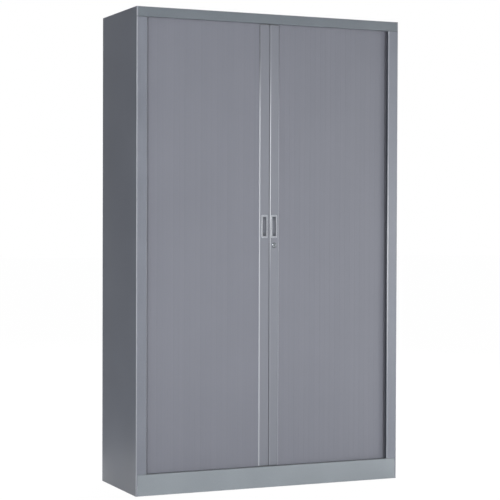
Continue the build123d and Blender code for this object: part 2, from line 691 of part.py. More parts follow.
def inner_liner():
    """Right liner between the parked curtain and the shelves, slotted for the shelf clips."""
    outline = [
        (HEM_X, LINER_FRONT_Y),
        (LINER_X, LINER_FRONT_Y),
        (LINER_X, LINER_REAR_Y),
        (LINER_X - LINER_RETURN, LINER_REAR_Y),
    ]
    liner = along_z(creased(outline, Side.RIGHT), FLOOR_HEIGHT, CEILING)
    middle_x = LINER_X + SHEET / 2
    slots = [
        Pos(middle_x, y, slot_level(index)) * Box(3 * SHEET, SLOT_WIDTH, SLOT_HEIGHT)
        for y in SLOT_ROWS
        for index in range(SLOT_COUNT)
    ]
    return liner - slots


def inner_back_panel():
    """Sheet behind the shelves, laid against the rear returns of the liners."""
    limits_y = (INNER_BACK_Y - SHEET, INNER_BACK_Y)
    return block((-LINER_X, LINER_X), limits_y, (FLOOR_HEIGHT, CEILING))


def ledge_level(number):
    """Height of the clip ledges under a shelf, counted from the lowest shelf."""
    index = round(number * SLOT_COUNT / (SHELF_COUNT + 1)) - 1
    return slot_level(index) + CLIP_THICKNESS / 2


def shelf(number):
    """Folded shelf: flanges turned down all round and a lip under the front edge."""
    bottom = ledge_level(number)
    top = bottom + SHELF_EDGE
    front = LINER_FRONT_Y + SHELF_FRONT_INSET
    rear = LINER_REAR_Y - SHELF_REAR_INSET
    outline = [(rear, bottom), (rear, top), (front, top), (front, bottom), (front + SHELF_LIP, bottom)]
    half = LINER_X - SHELF_CLEARANCE
    tray = along_x(creased(outline, Side.LEFT), -half, half)
    flange = block((half - SHEET, half), (front, rear), (bottom, top))
    return tray + flange + other_side(flange)


def shelf_clips(number):
    """Four steel clips: each hooks through a liner slot and holds a shelf flange on its ledge."""
    ledge = ledge_level(number)
    under = ledge - CLIP_THICKNESS
    front_face = LINER_X - CLIP_CLEARANCE
    rear_face = LINER_X + SHEET + CLIP_CLEARANCE
    outline = make_face(
        Polyline(
            (LINER_X - CLIP_LEDGE, ledge),
            (rear_face + CLIP_THICKNESS, ledge),
            (rear_face + CLIP_THICKNESS, ledge - CLIP_HOOK),
            (rear_face, ledge - CLIP_HOOK),
            (rear_face, under),
            (front_face, under),
            (front_face, ledge - CLIP_LEG),
            (front_face - CLIP_THICKNESS, ledge - CLIP_LEG),
            (front_face - CLIP_THICKNESS, under),
            (LINER_X - CLIP_LEDGE, under),
            close=True,
        )
    )
    clip = extrude(Plane.XZ * outline, CLIP_WIDTH / 2, both=True)
    return group(both_sides([Pos(0, y, 0) * clip for y in SLOT_ROWS]))


# ---------------------------------------------------------------- levelling feet


def leveller_bracket():
    """Front right bracket: a shelf for the nut, turned down against the side panel."""
    limits_y = (-LEVELLER_Y - BRACKET_WIDTH / 2, -LEVELLER_Y + BRACKET_WIDTH / 2)
    inner_wall = SIDE - SHEET
    plate = block((inner_wall - BRACKET_REACH, inner_wall), limits_y, (BRACKET_TOP - BRACKET_SHEET, BRACKET_TOP))
    leg_z = (BRACKET_TOP - BRACKET_DROP, BRACKET_TOP)
    plate += block((inner_wall - BRACKET_SHEET, inner_wall), limits_y, leg_z)
    hole = Box(STUD_HOLE, STUD_HOLE, 4 * BRACKET_SHEET)
    return plate - Pos(LEVELLER_X, -LEVELLER_Y, BRACKET_TOP) * hole


def weld_nut():
    """Hexagon nut on the front right bracket."""
    nut = extrude(RegularPolygon(NUT_WIDTH / 2, 6, major_radius=False), NUT_HEIGHT)
    nut -= Cylinder(STUD_RADIUS + RUNNING_FIT, 4 * NUT_HEIGHT)
    return Pos(LEVELLER_X, -LEVELLER_Y, BRACKET_TOP) * nut


def leveller(x, y):
    """Levelling foot: a hexagonal pad on a stud with a hexagon socket in its upper end."""
    pad = extrude(RegularPolygon(FOOT_WIDTH / 2, 6, major_radius=False), FOOT_HEIGHT)
    pad = chamfer(pad.faces().sort_by(Axis.Z)[0].edges(), FOOT_CHAMFER)
    stud_top = STUD_TOP - FOOT_LIFT
    stud = Pos(0, 0, stud_top / 2) * Cylinder(STUD_RADIUS, stud_top)
    socket = extrude(RegularPolygon(HEX_SOCKET / 2, 6, major_radius=False), HEX_SOCKET_DEPTH)
    return Pos(x, y, FOOT_LIFT) * (pad + stud - Pos(0, 0, stud_top - HEX_SOCKET_DEPTH) * socket)


def floor_plug():
    """Push-in cover of the front right access hole."""
    cap_width = PLUG_WIDTH + 2 * PLUG_OVERLAP
    stem_width = PLUG_WIDTH - 2 * RUNNING_FIT
    cap = Pos(0, 0, PLUG_CAP / 2) * Box(cap_width, cap_width, PLUG_CAP)
    stem = Pos(0, 0, -PLUG_STEM / 2) * Box(stem_width, stem_width, PLUG_STEM)
    hollow = Box(stem_width - 2 * PLUG_WALL, stem_width - 2 * PLUG_WALL, 2 * PLUG_STEM)
    stem -= Pos(0, 0, -PLUG_STEM) * hollow
    return Pos(LEVELLER_X, -LEVELLER_Y, FLOOR_HEIGHT) * (cap + stem)


def at_four_corners(shape):
    """A group of the front right piece and its mirror images at the other three corners."""
    return group(both_sides([shape, mirror(shape, about=Plane.XZ)]))


# ---------------------------------------------------------------- the cupboard


def carcass_pieces():
    """Panels of the carcass."""
    side = side_panel()
    back = back_panel()
    liner = inner_liner()
    return {
        "left_side_panel": other_side(side),
        "right_side_panel": side,
        "top_panel": top_panel(),
        "ceiling_panel": ceiling_panel(),
        "plinth": plinth(),
        "floor_panel": floor_panel(),
        "left_back_panel": other_side(back),
        "right_back_panel": back,
        "back_joint_strip": back_joint_strip(),
        "left_inner_liner": other_side(liner),
        "right_inner_liner": liner,
        "inner_back_panel": inner_back_panel(),
        "centre_stops": centre_stops(),
    }


def shutter_pieces():
    """The two curtains with their lead profiles, handles, guides, lock and strike."""
    right_curtain = slats()
    cup = handle_cup()
    lower = lower_guide()
    upper = upper_guide()
    return {
        "left_slats": group(other_side(slat) for slat in right_curtain),
        "right_slats": group(right_curtain),
        "left_lead_profile": left_lead_profile(),
        "right_lead_profile": right_lead_profile(),
        "left_handle_cup": other_side(cup),
        "right_handle_cup": cup,
        "left_lower_guide": other_side(lower),
        "right_lower_guide": lower,
        "left_upper_guide": other_side(upper),
        "right_upper_guide": upper,
        "strike_plate": strike_plate(),
        "strike_screws": strike_screws(),
        "lock_housing": lock_housing(),
        "lock_nut": lock_nut(),
        "lock_plug": lock_plug(),
        "hook_cam": hook_cam(),
        "cam_screw": cam_screw(),
    }


def foot_pieces():
    """The levelling feet with their brackets, nuts and plugs."""
    corners = ("front_left", "front_right", "rear_left", "rear_right")
    pieces = {
        f"{corner}_leveller": leveller(x, y) for corner, (x, y) in zip(corners, leveller_places())
    }
    pieces["leveller_brackets"] = at_four_corners(leveller_bracket())
    pieces["leveller_nuts"] = at_four_corners(weld_nut())
    pieces["floor_plugs"] = at_four_corners(floor_plug())
    return pieces


def all_pieces():
    """Every piece of the cupboard by name."""
    pieces = carcass_pieces()
    for name, solids in track_pieces().items():
        pieces[f"lower_{name}"] = group(at_floor(solid) for solid in solids)
        pieces[f"upper_{name}"] = group(at_ceiling(solid) for solid in solids)
    for number in range(1, SHELF_COUNT + 1):
        pieces[f"shelf_{number}"] = shelf(number)
        pieces[f"shelf_{number}_clips"] = shelf_clips(number)
    pieces.update(shutter_pieces())
    pieces.update(foot_pieces())
    return pieces


os.makedirs("parts", exist_ok=True)
for piece_name, piece in all_pieces().items():
    export_step(piece, f"parts/{piece_name}.step")
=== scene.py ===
"""Looks of the two-door tambour cupboard, in the order in which the cupboard is put together."""
from math import cos, dist, pi, radians, sin, sqrt

import bmesh
import bpy
from mathutils import Matrix, Vector


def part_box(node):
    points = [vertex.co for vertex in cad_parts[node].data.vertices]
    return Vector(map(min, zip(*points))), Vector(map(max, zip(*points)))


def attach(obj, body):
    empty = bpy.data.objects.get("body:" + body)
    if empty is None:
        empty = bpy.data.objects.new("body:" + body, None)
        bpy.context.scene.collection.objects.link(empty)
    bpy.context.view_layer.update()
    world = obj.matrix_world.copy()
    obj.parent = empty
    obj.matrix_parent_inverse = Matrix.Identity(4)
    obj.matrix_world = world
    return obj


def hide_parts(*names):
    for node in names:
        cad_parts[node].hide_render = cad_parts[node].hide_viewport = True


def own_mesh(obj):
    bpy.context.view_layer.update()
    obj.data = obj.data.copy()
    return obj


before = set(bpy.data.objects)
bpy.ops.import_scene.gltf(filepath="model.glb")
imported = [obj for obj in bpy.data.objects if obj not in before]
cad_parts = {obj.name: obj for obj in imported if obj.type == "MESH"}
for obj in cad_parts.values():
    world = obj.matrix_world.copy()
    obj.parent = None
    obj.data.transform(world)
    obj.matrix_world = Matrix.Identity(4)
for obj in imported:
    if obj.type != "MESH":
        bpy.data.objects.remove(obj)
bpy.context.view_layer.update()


# ---- Carcass ----------------------------------------------------------------------------------
# Side panels, top, plinth, floor and inner ceiling are 1 mm cold-rolled steel sheet, cut, folded
# and spot-welded, then sprayed with aluminium-grey polyester powder and stoved. The film is satin,
# with a light orange peel, a little metal flake and slightly uneven thickness over large faces.


def srgb(code):
    """Linear colour of an sRGB hex value."""
    channels = [int(code[place:place + 2], 16) / 255 for place in (1, 3, 5)]
    linear = [c / 12.92 if c <= 0.04045 else ((c + 0.055) / 1.055) ** 2.4 for c in channels]
    return (*linear, 1.0)


def add(tree, kind, inputs=None, **settings):
    """A node with its settings; each input is a value or the output that feeds it.

    Inputs go by name, or by number where names repeat: a Mix node's share is 0, its two values
    are 2 and 3, and its two colours are 6 and 7.
    """
    made = tree.nodes.new(kind)
    for name, value in settings.items():
        setattr(made, name, value)
    for name, value in (inputs or {}).items():
        if isinstance(value, bpy.types.NodeSocket):
            tree.links.new(value, made.inputs[name])
        else:
            made.inputs[name].default_value = value
    return made


def new_material(name):
    """A material, its node tree and its surface shader."""
    material = bpy.data.materials.new(name)
    material.use_nodes = True
    return material, material.node_tree, material.node_tree.nodes["Principled BSDF"]


def finish_nodes(material, *names):
    """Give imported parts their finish."""
    for name in names:
        for material_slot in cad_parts[name].material_slots:
            material_slot.material = material


def edge_mask_for_wear_and_highlights(tree, radius, full):
    """Mask of sharp edges, full where rounding them would turn the surface by this cosine."""
    rounded = add(tree, "ShaderNodeBevel", {"Radius": radius}, samples=4)
    surface = add(tree, "ShaderNodeNewGeometry")
    normals = {0: rounded.outputs[0], 1: surface.outputs["Normal"]}
    turn = add(tree, "ShaderNodeVectorMath", normals, operation="DOT_PRODUCT")
    edge_range = {"Value": turn.outputs["Value"], "From Min": 0.995, "From Max": full}
    return add(tree, "ShaderNodeMapRange", edge_range).outputs[0]


def off_level(tree, coordinate, level, none_at, full_at):
    """Mask that goes from 0 at one distance from a level to 1 at another."""
    offset = add(tree, "ShaderNodeMath", {0: coordinate, 1: level}, operation="SUBTRACT")
    distance = add(tree, "ShaderNodeMath", {0: offset.outputs[0]}, operation="ABSOLUTE")
    distance_range = {"Value": distance.outputs[0], "From Min": none_at, "From Max": full_at}
    return add(tree, "ShaderNodeMapRange", distance_range).outputs[0]


def lay_over(tree, *layers):
    """Lay colours over a surface's base colour in turn, each where its own mask says."""
    base = tree.nodes["Principled BSDF"].inputs["Base Color"]
    colour = base.links[0].from_socket
    for mask, tint in layers:
        laid = add(tree, "ShaderNodeMix", {0: mask, 6: colour, 7: tint}, data_type="RGBA")
        colour = laid.outputs[2]
    tree.links.new(colour, base)


# Sizes of the film's patterns, in metres.
FILM_DRIFT = 0.22
# Flake is under 0.1 mm in the can; it is drawn at 3 mm so that it still gives a faint grain.
FLAKE = 0.003
RUBBED_PATCH = 0.06
ORANGE_PEEL = 0.002
SHEET_WAVE = 0.3


def powder_coated_steel(name, light, dark):
    """Satin polyester powder on steel sheet: soft sheen, orange peel, flake and film variation."""
    material, tree, shader = new_material(name)
    place = add(tree, "ShaderNodeTexCoord").outputs["Object"]
    drift = {"Vector": place, "Scale": 1 / FILM_DRIFT, "Detail": 2.0}
    film = add(tree, "ShaderNodeTexNoise", drift).outputs["Fac"]
    grain = {"Vector": place, "Scale": 1 / FLAKE, "Detail": 1.0}
    flake = add(tree, "ShaderNodeTexNoise", grain).outputs["Fac"]
    share = add(tree, "ShaderNodeMix", {0: 0.35, 2: film, 3: flake})
    share_range = {"Value": share.outputs[0], "From Min": 0.35, "From Max": 0.65}
    spread = add(tree, "ShaderNodeMapRange", share_range)
    film_colour = {0: spread.outputs[0], 6: srgb(dark), 7: srgb(light)}
    colour = add(tree, "ShaderNodeMix", film_colour, data_type="RGBA")
    tree.links.new(colour.outputs[2], shader.inputs["Base Color"])
    # Hands and boxes polish the film along folds and hems, in patches.
    patches = {"Vector": place, "Scale": 1 / RUBBED_PATCH, "Detail": 3.0}
    worn = add(tree, "ShaderNodeTexNoise", patches).outputs["Fac"]
    patch_range = {"Value": worn, "From Min": 0.4, "From Max": 0.65, "To Max": 0.5}
    patch = add(tree, "ShaderNodeMapRange", patch_range).outputs[0]
    edge = edge_mask_for_wear_and_highlights(tree, radius=0.0015, full=0.85)
    rub = add(tree, "ShaderNodeMath", {0: edge, 1: patch}, operation="MULTIPLY").outputs[0]
    lay_over(tree, (rub, srgb("#a2a6ae")))
    # The gloss drifts with the film.
    film_range = {"Value": film, "From Min": 0.3, "From Max": 0.7, "To Min": 0.38, "To Max": 0.47}
    gloss = add(tree, "ShaderNodeMapRange", film_range)
    tree.links.new(gloss.outputs[0], shader.inputs["Roughness"])
    # Orange peel stands on a sheet that is itself out of flat over long waves.
    sheet = {"Vector": place, "Scale": 1 / SHEET_WAVE, "Detail": 0.0}
    long_wave = add(tree, "ShaderNodeTexNoise", sheet).outputs["Fac"]
    wave = add(tree, "ShaderNodeBump", {"Strength": 0.5, "Distance": 0.0006, "Height": long_wave})
    peel = {"Vector": place, "Scale": 1 / ORANGE_PEEL, "Detail": 0.0}
    dimples = add(tree, "ShaderNodeTexNoise", peel).outputs["Fac"]
    relief = {"Strength": 0.2, "Distance": 0.0001, "Height": dimples, "Normal": wave.outputs[0]}
    tree.links.new(add(tree, "ShaderNodeBump", relief).outputs[0], shader.inputs["Normal"])
    shader.inputs["Specular IOR Level"].default_value = 0.35
    return material


post_low, post_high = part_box("right_side_panel")
OPENING_HALF = round(post_low.x, 4)
POST_MIDDLE = round((post_low.x + post_high.x) / 2, 4)
INNER_FOLD = OPENING_HALF + 0.0014
INNER_FOLD_HALF = 0.0016
LIP = round(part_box("top_panel")[0].z, 4)
LIP_JOINT = LIP - 0.0008
# Height at which the painted highlight on the right post's inner fold is brightest.
FOLD_HIGHLIGHT_HEIGHT = 0.95
# Each pair says where a painted mark starts and where it is full.
FOLDS = (0.0195, 0.0218)
FRONT_FACE = (-0.2105, -0.2125)
INNER_BEND = (-0.2065, -0.2095)
FOLD_HIGHLIGHT_REACH = (0.55, 0.1)
DUST_AND_SHADE_LINE = (0.0018, 0.0008)


def paint_post_highlights_dust_and_shade(material):
    """Paint highlights along both folds of the front posts, and dust with painted shade under the
    top's lip.
    """
    tree = material.node_tree
    place = add(tree, "ShaderNodeTexCoord").outputs["Object"]
    x, y, z = add(tree, "ShaderNodeSeparateXYZ", {"Vector": place}).outputs
    aside = add(tree, "ShaderNodeMath", {0: x}, operation="ABSOLUTE").outputs[0]
    # A painted highlight along both folds, on the posts' front faces.
    fold = off_level(tree, aside, POST_MIDDLE, *FOLDS)
    front_range = {"Value": y, "From Min": FRONT_FACE[0], "From Max": FRONT_FACE[1], "To Max": 0.6}
    facing = add(tree, "ShaderNodeMapRange", front_range).outputs[0]
    light = add(tree, "ShaderNodeMath", {0: fold, 1: facing}, operation="MULTIPLY").outputs[0]
    # A painted highlight on the right post's inner fold, brightest a little below the height of the
    # handles.
    inner_band = {0: x, 1: INNER_FOLD, 2: INNER_FOLD_HALF}
    inner_fold = add(tree, "ShaderNodeMath", inner_band, operation="COMPARE").outputs[0]
    fold_highlight_height = off_level(tree, z, FOLD_HIGHLIGHT_HEIGHT, *FOLD_HIGHLIGHT_REACH)
    fold_highlight_band = add(tree, "ShaderNodeMath", {0: inner_fold, 1: fold_highlight_height}, operation="MULTIPLY").outputs[0]
    bend_range = {"Value": y, "From Min": INNER_BEND[0], "From Max": INNER_BEND[1], "To Max": 0.65}
    bend = add(tree, "ShaderNodeMapRange", bend_range).outputs[0]
    inner_fold_highlight = add(tree, "ShaderNodeMath", {0: fold_highlight_band, 1: bend}, operation="MULTIPLY").outputs[0]
    # A thin band just under the top's lip is darkened: dust in the joint, and painted shade under
    # the lip.
    joint = off_level(tree, z, LIP_JOINT, *DUST_AND_SHADE_LINE)
    dust_and_shade = add(tree, "ShaderNodeMath", {0: joint, 1: facing}, operation="MULTIPLY").outputs[0]
    # Painted highlights on the folds, then dust with painted shade under the lip.
    lay_over(tree, (light, srgb("#bcbfc6")), (inner_fold_highlight, srgb("#e2e4e8")), (dust_and_shade, srgb("#30343b")))


carcass_finish = powder_coated_steel("powder_coated_steel_aluminium_grey", "#858993", "#7e828c")
paint_post_highlights_dust_and_shade(carcass_finish)
finish_nodes(carcass_finish, "left_side_panel", "right_side_panel", "ceiling_panel", "floor_panel")
# The top and the plinth take copies of the same powder: a shade darker on the top as painted shade,
# a shade lighter on the plinth as painted light.
top_painted_shade = powder_coated_steel("powder_coated_steel_darker_batch", "#787f86", "#71787f")
finish_nodes(top_painted_shade, "top_panel")
plinth_painted_light = powder_coated_steel("powder_coated_steel_lighter_batch", "#9aa1a7", "#939aa0")
finish_nodes(plinth_painted_light, "plinth")


# ---- Back --------------------------------------------------------------------------------------
# Two flat steel sheets laid against the side panels' rear flanges, with a cover strip over their
# joint. Blind aluminium rivets fix them to the flanges of the top and the floor; the heads are
# domed and 6.5 mm across, and they keep the metal's own colour because they go in after coating.

finish_nodes(carcass_finish, "left_back_panel", "right_back_panel", "back_joint_strip")


def put(name, shape, body, material, angle=35):
    """Turn a built shape into a piece that rides on a body, smooth but for its sharp edges."""
    bmesh.ops.recalc_face_normals(shape, faces=shape.faces)
    mesh = bpy.data.meshes.new(name)
    shape.to_mesh(mesh)
    shape.free()
    mesh.shade_smooth()
    mesh.set_sharp_from_angle(angle=radians(angle))
    mesh.materials.append(material)
    piece = bpy.data.objects.new(name, mesh)
    bpy.context.scene.collection.objects.link(piece)
    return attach(piece, body)


def band(shape, low, high):
    """Join two closed loops of as many points by four-sided faces."""
    for index in range(len(low)):
        after = (index + 1) % len(low)
        shape.faces.new((low[index], low[after], high[after], high[index]))


def turned(shape, profile, centre, axis, sides, ring=False):
    """Add a solid turned from (radius, height) pairs along an axis; a ring has an open middle."""
    along = Vector(axis)
    across = along.orthogonal().normalized()
    third = along.cross(across)
    angles = [2 * pi * step / sides for step in range(sides)]
    spokes = [across * cos(angle) + third * sin(angle) for angle in angles]
    rings = []
    for radius, height in profile:
        middle = Vector(centre) + along * height
        rings.append([shape.verts.new(middle + spoke * radius) for spoke in spokes])
    for low, high in zip(rings, rings[1:] + rings[:1] if ring else rings[1:]):
        band(shape, low, high)
    if not ring:
        shape.faces.new(rings[0][::-1])
        shape.faces.new(rings[-1])


def fine_relief(tree, pattern, roughness, strength, depth):
    """Let a fine pattern raise the surface and vary its roughness between two values."""
    shader = tree.nodes["Principled BSDF"]
    gloss_range = {"Value": pattern, "To Min": roughness[0], "To Max": roughness[1]}
    gloss = add(tree, "ShaderNodeMapRange", gloss_range)
    tree.links.new(gloss.outputs[0], shader.inputs["Roughness"])
    raised = {"Strength": strength, "Distance": depth, "Height": pattern}
    tree.links.new(add(tree, "ShaderNodeBump", raised).outputs[0], shader.inputs["Normal"])


def metal(name, light, dark, roughness, grain, depth):
    """Bare or plated metal: mottled at the size of its grain, with a fine uneven surface."""
    material, tree, shader = new_material(name)
    place = add(tree, "ShaderNodeTexCoord").outputs["Object"]
    grains = {"Vector": place, "Scale": 1 / grain}
    mottle = add(tree, "ShaderNodeTexVoronoi", grains).outputs["Distance"]
    unevenness = {"Vector": place, "Scale": 4 / grain, "Detail": 2.0}
    fine = add(tree, "ShaderNodeTexNoise", unevenness).outputs["Fac"]
    share = add(tree, "ShaderNodeMix", {0: 0.5, 2: mottle, 3: fine}).outputs[0]
    mottled = {0: share, 6: srgb(dark), 7: srgb(light)}
    colour = add(tree, "ShaderNodeMix", mottled, data_type="RGBA")
    tree.links.new(colour.outputs[2], shader.inputs["Base Color"])
    fine_relief(tree, fine, (roughness * 0.8, roughness * 1.3), strength=0.3, depth=depth)
    shader.inputs["Metallic"].default_value = 1.0
    return material


rivet_metal = metal(
    "rolled_aluminium_rivet", "#c3c6c8", "#a9adb0", roughness=0.3, grain=0.002, depth=0.00003
)
RIVET_HEAD = [
    (0.00325, 0.0), (0.0032, 0.0003), (0.0026, 0.0007), (0.0014, 0.0009), (0.0012, 0.0006),
]
RIVET_LEVELS = (1.968, 0.060)
RIVET_COLUMNS = (0.055, 0.185, 0.315, 0.445, 0.565)
back_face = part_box("right_back_panel")[1].y
rivets = bmesh.new()
for level in RIVET_LEVELS:
    for column in RIVET_COLUMNS:
        for side in (-1, 1):
            turned(rivets, RIVET_HEAD, (side * column, back_face, level), (0, 1, 0), sides=16)
rivet_piece = put("back_rivets", rivets, "cabinet", rivet_metal)


# ---- Liners and shelves ------------------------------------------------------------------------
# Folded steel sheets in the same powder: two slotted liners keep the parked curtains away from the
# load, a flat sheet closes the back, and four flanged shelves rest on zinc-plated clips that hook
# into the liners' slots.

finish_nodes(carcass_finish, "left_inner_liner", "right_inner_liner", "inner_back_panel")
zinc_plate = metal(
    "bright_zinc_plated_steel", "#c4c6c2", "#a3a6a2", roughness=0.32, grain=0.006, depth=0.00004
)
for number in (1, 2, 3, 4):
    finish_nodes(carcass_finish, f"shelf_{number}")
    finish_nodes(zinc_plate, f"shelf_{number}_clips")


# ---- Tracks ------------------------------------------------------------------------------------
# Straight lengths of extruded dark polypropylene channel are pressed on the floor and under the
# ceiling, and moulded quarter bends join them. The nylon stops sit in the groove at the middle.

TONE_CHANGE = 0.04


def moulded_plastic(name, light, dark, roughness, texture):
    """Injection-moulded or extruded plastic: eroded tool texture and a slow change of tone."""
    material, tree, shader = new_material(name)
    place = add(tree, "ShaderNodeTexCoord").outputs["Object"]
    slow = {"Vector": place, "Scale": 1 / TONE_CHANGE, "Detail": 3.0}
    tone = add(tree, "ShaderNodeTexNoise", slow).outputs["Fac"]
    blend = {0: tone, 6: srgb(dark), 7: srgb(light)}
    colour = add(tree, "ShaderNodeMix", blend, data_type="RGBA")
    tree.links.new(colour.outputs[2], shader.inputs["Base Color"])
    eroded = {"Vector": place, "Scale": 1 / texture, "Detail": 1.0}
    erosion = add(tree, "ShaderNodeTexNoise", eroded).outputs["Fac"]
    spread = (roughness * 0.85, roughness * 1.15)
    fine_relief(tree, erosion, spread, strength=0.3, depth=texture / 15)
    return material


track_plastic = moulded_plastic(
    "extruded_polypropylene_dark_grey", "#45484c", "#3a3c40", roughness=0.5, texture=0.0012
)
for end in ("lower", "upper"):
    for run in ("front_track", "right_side_track", "left_side_track", "rear_tracks"):
        finish_nodes(track_plastic, f"{end}_{run}")
    finish_nodes(track_plastic, f"{end}_front_corner_guides", f"{end}_rear_corner_guides")
nylon = moulded_plastic("moulded_nylon_grey", "#6d7073", "#5f6265", roughness=0.45, texture=0.001)
finish_nodes(nylon, "centre_stops")


# ---- Levelling feet ----------------------------------------------------------------------------
# Four zinc-plated hexagonal feet on threaded studs turn in nuts welded to angle brackets. A key
# reaches the studs through square holes in the floor, which push-in polyethylene caps close.

finish_nodes(zinc_plate, "leveller_brackets", "leveller_nuts")
for corner in ("front_left", "front_right", "rear_left", "rear_right"):
    finish_nodes(zinc_plate, f"{corner}_leveller")
finish_nodes(nylon, "floor_plugs")


# ---- Pile strips -------------------------------------------------------------------------------
# A woven strip of black polypropylene pile is glued to the inner fold of each front post. It stands
# in for the shade between the post and the curtain, and draws the dark line there.

STRIP_FOOT = round(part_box("plinth")[1].z, 4) + 0.0015
STRIP_TOP = LIP - 0.0025
STRIP_STEPS = 37
RUFFLE, RUFFLE_TURN = 0.06, 2.4
BACKING = 0.001
STRIP_SECTION = [
    (0.0, -0.2065), (0.0008, -0.2065), (0.0008, -0.2058), (0.0020, -0.2056), (0.0025, -0.2050),
    (0.0027, -0.2042), (0.0026, -0.2032), (0.0027, -0.2020), (0.0025, -0.2010), (0.0020, -0.2003),
    (0.0008, -0.2000), (0.0008, -0.1990), (0.0, -0.1990),
]
# Tufts stand about 0.4 mm apart; they are drawn 1.5 mm apart so that they still show.
TUFT = 0.0015
LAY = 0.03


def woven_pile(name, light, dark):
    """Woven pile: a grain of tufts that lie over in slow patches, with hardly any gloss."""
    material, tree, shader = new_material(name)
    place = add(tree, "ShaderNodeTexCoord").outputs["Object"]
    tufts = add(tree, "ShaderNodeTexVoronoi", {"Vector": place, "Scale": 1 / TUFT})
    tuft = tufts.outputs["Distance"]
    lay = add(tree, "ShaderNodeTexNoise", {"Vector": place, "Scale": 1 / LAY, "Detail": 2.0})
    shade = add(tree, "ShaderNodeMix", {0: 0.5, 2: tuft, 3: lay.outputs["Fac"]})
    fibre = {0: shade.outputs[0], 6: srgb(dark), 7: srgb(light)}
    colour = add(tree, "ShaderNodeMix", fibre, data_type="RGBA")
    tree.links.new(colour.outputs[2], shader.inputs["Base Color"])
    fine_relief(tree, tuft, (0.85, 1.0), strength=0.6, depth=0.0004)
    shader.inputs["Specular IOR Level"].default_value = 0.1
    return material


# The pile's black is painted shade: a dark strip put where the post shades the curtain.
pile = woven_pile("black_pile_standing_for_painted_shade", "#43464e", "#2b2e35")
SIDES = ((-1, "left"), (1, "right"))
for side, name in SIDES:
    shape = bmesh.new()
    rings = []
    for step in range(STRIP_STEPS + 1):
        z = STRIP_FOOT + (STRIP_TOP - STRIP_FOOT) * step / STRIP_STEPS
        ring = []
        for proud, y in STRIP_SECTION:
            # The backing is straight, and the pile stands more or less proud along the strip.
            swell = 1 + RUFFLE * sin(step * RUFFLE_TURN) if proud > BACKING else 1
            ring.append(shape.verts.new((side * (OPENING_HALF - proud * swell), y, z)))
        rings.append(ring)
    for low, high in zip(rings, rings[1:]):
        band(shape, low, high)
    shape.faces.new(rings[0])
    shape.faces.new(rings[-1])
    strip_piece = put(f"{name}_shade_pile_strip", shape, "cabinet", pile, angle=50)


# ---- Curtains ----------------------------------------------------------------------------------
# Each curtain is a chain of extruded rigid PVC slats: the round bead on one edge of a slat is slid
# from the end into the socket of its neighbour, and the flat skins almost meet in front. The
# plastic is matt, self-coloured, with faint die lines along its length.

PITCH = 0.024
BEAD = 0.0016
SOCKET_INNER, SOCKET_OUTER = 0.0019, 0.0031
SKIN_FRONT = -0.003
SKIN_START, SKIN_END = 0.0033, 0.02714
SKIN_CROWN = 0.00002
EDGE_RADIUS = 0.0001
HALF_NECK = 0.0008
NECK_ANGLE = 30
SLATS = 23
# The hinges follow the middle of the front track, then the bend about the corner guide's centre.
track_low, track_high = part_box("lower_front_track")
HINGE_LINE = round((track_low.y + track_high.y) / 2, 4)
TRACK_CORNER = (round(track_high.x, 4), round(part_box("lower_front_corner_guides")[1].y, 4))
TRACK_RADIUS = round(TRACK_CORNER[1] - HINGE_LINE, 4)
FIRST_HINGE = (0.0429, HINGE_LINE)


def arc(centre, radius, start, end, steps):
    """Points on an arc between two angles in degrees."""
    angles = [radians(start + (end - start) * step / steps) for step in range(steps + 1)]
    return [(centre[0] + radius * cos(a), centre[1] + radius * sin(a)) for a in angles]


def slat_outline():
    """Section of one slat with its hinge at the origin and the next hinge one pitch away."""
    edge_line = SKIN_FRONT + EDGE_RADIUS
    middle = (SKIN_START + SKIN_END) / 2
    half = (SKIN_END - SKIN_START) / 2 - EDGE_RADIUS
    outline = arc((0, 0), BEAD, -NECK_ANGLE, NECK_ANGLE - 360, 15)
    outline.append((PITCH - sqrt(SOCKET_OUTER**2 - HALF_NECK**2), HALF_NECK))
    outline += arc((PITCH, 0), SOCKET_OUTER, 150, 60, 6)
    outline += arc((PITCH, 0), SOCKET_INNER, 60, 333, 13)
    outline += arc((SKIN_END - EDGE_RADIUS, edge_line), EDGE_RADIUS, -10, -80, 3)
    for part in (1, 0.75, 0.4, 0, -0.4, -0.75, -1):
        outline.append((middle + half * part, SKIN_FRONT - SKIN_CROWN * (1 - part * part)))
    outline += arc((SKIN_START + EDGE_RADIUS, edge_line), EDGE_RADIUS, -100, -180, 3)
    outline.append((SKIN_START, -HALF_NECK))
    return outline


def on_hinge_line(run):
    """Point on the line that the hinges follow: straight at first, then round the corner."""
    straight = TRACK_CORNER[0] - FIRST_HINGE[0]
    if run <= straight:
        return FIRST_HINGE[0] + run, FIRST_HINGE[1]
    turn = min((run - straight) / TRACK_RADIUS, pi / 2)
    beyond = run - straight - turn * TRACK_RADIUS
    x = TRACK_CORNER[0] + TRACK_RADIUS * sin(turn)
    y = TRACK_CORNER[1] - TRACK_RADIUS * cos(turn) + beyond
    return x, y


def next_hinge(run):
    """Distance along the hinge line to the next hinge, one straight pitch on."""
    here = on_hinge_line(run)
    near, far = run, run + 2 * PITCH
    for _ in range(40):
        middle = (near + far) / 2
        if dist(here, on_hinge_line(middle)) < PITCH:
            near = middle
        else:
            far = middle
    return near


HINGE_RUNS = [0.0]
for _ in range(SLATS):
    HINGE_RUNS.append(next_hinge(HINGE_RUNS[-1]))


# Steps of the golden ratio give neighbours unlike shades; the right curtain starts elsewhere.
GOLDEN = 0.618
RIGHT_START = 0.31


